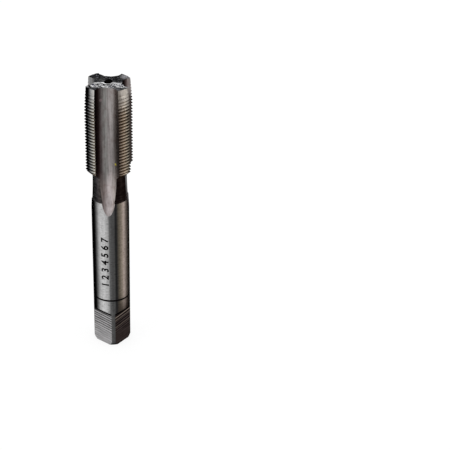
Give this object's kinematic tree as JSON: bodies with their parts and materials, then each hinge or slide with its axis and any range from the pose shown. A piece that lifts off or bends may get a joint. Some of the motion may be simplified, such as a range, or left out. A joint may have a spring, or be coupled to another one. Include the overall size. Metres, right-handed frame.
{
  "type": "thread tap",
  "caption": "Straight-fluted hand tap with a fine right-hand thread, tapered lead, relieved neck, round shank and driving square.",
  "frame": {"origin": "centre of the flat end face of the driving square, on which the tap stands", "axes": "+Z along the tool axis towards the cutting end, -Y through the middle of one flute"},
  "size_m": [0.0106, 0.0106, 0.07],
  "materials": {
    "tool_steel": "ground bright on the shank and lands, dark oxide in the flutes and on the neck"
  },
  "bodies": {
    "root": {"tap": "tool_steel"}
  },
  "joints": []
}
